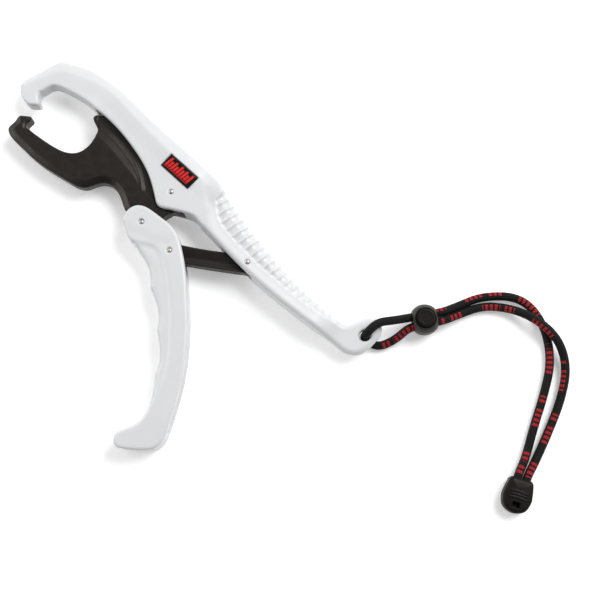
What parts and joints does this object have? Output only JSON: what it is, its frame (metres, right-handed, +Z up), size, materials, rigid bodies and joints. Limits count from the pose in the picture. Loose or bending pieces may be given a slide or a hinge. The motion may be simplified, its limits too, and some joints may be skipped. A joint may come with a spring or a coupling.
{
  "type": "lip grip",
  "caption": "Hand-held fish lip gripper with a squeeze lever that closes its jaws, and a wrist lanyard with a cord lock.",
  "frame": {"origin": "on the lower jaw's pivot axis, on the plane the grip lies on", "axes": "+X runs along the handle from the jaws to the lanyard eye, +Z is up through the grip's thickness as it lies on its side, and the lower jaw and the lever are on the -Y side"},
  "size_m": [0.3375, 0.1892, 0.0165],
  "materials": {
    "white_shell": "satin moulded",
    "black_jaw": "glass filled, satin",
    "black_link": "moulded",
    "pin_steel": "turned",
    "label_black": "satin with a red pattern",
    "cord_black": "braided polyester with red marks",
    "lock_black": "satin",
    "spring_steel": "drawn wire",
    "clamp_black": "moulded"
  },
  "bodies": {
    "main_body": {"body_front": "white_shell", "body_back": "white_shell", "jaw_pin": "pin_steel", "body_link_pin": "pin_steel", "label_plate": "label_black", "lanyard_cord": "cord_black", "cord_lock_barrel": "lock_black", "cord_lock_spring": "spring_steel", "cord_end_front": "clamp_black", "cord_end_back": "clamp_black"},
    "jaw": {"lower_jaw": "black_jaw"},
    "squeeze_lever": {"lever": "white_shell", "lever_pin": "pin_steel", "lever_link_pin": "pin_steel"},
    "link": {"link_bar": "black_link"},
    "lock_button": {"cord_lock_plunger": "lock_black"}
  },
  "joints": [
    {"name": "jaw_hinge", "type": "hinge", "parent": "main_body", "child": "jaw", "pos_m": [0, 0, 0.008], "axis": [0, 0, 1], "range_deg": [-3.8, 18]},
    {"name": "lever_hinge", "type": "hinge", "parent": "jaw", "child": "squeeze_lever", "pos_m": [-0.001, -0.0214, 0.008], "axis": [0, 0, 1], "range_deg": [-38.6, 8.2]},
    {"name": "link_hinge", "type": "hinge", "parent": "main_body", "child": "link", "pos_m": [0.0533, -0.0028, 0.008], "axis": [0, 0, 1], "range_deg": [-2.6, 12]},
    {"name": "lock_button", "type": "slide", "parent": "main_body", "child": "lock_button", "axis": [0, 0, -1], "range_m": [0, 0.002], "stiffness_N_per_m": 600, "springref_m": -0.002, "deforming": ["cord_lock_spring"]}
  ],
  "couplings": [
    {"joint": "lever_hinge", "follows": "jaw_hinge", "ratio": -2.14},
    {"joint": "link_hinge", "follows": "jaw_hinge", "ratio": 0.66}
  ]
}
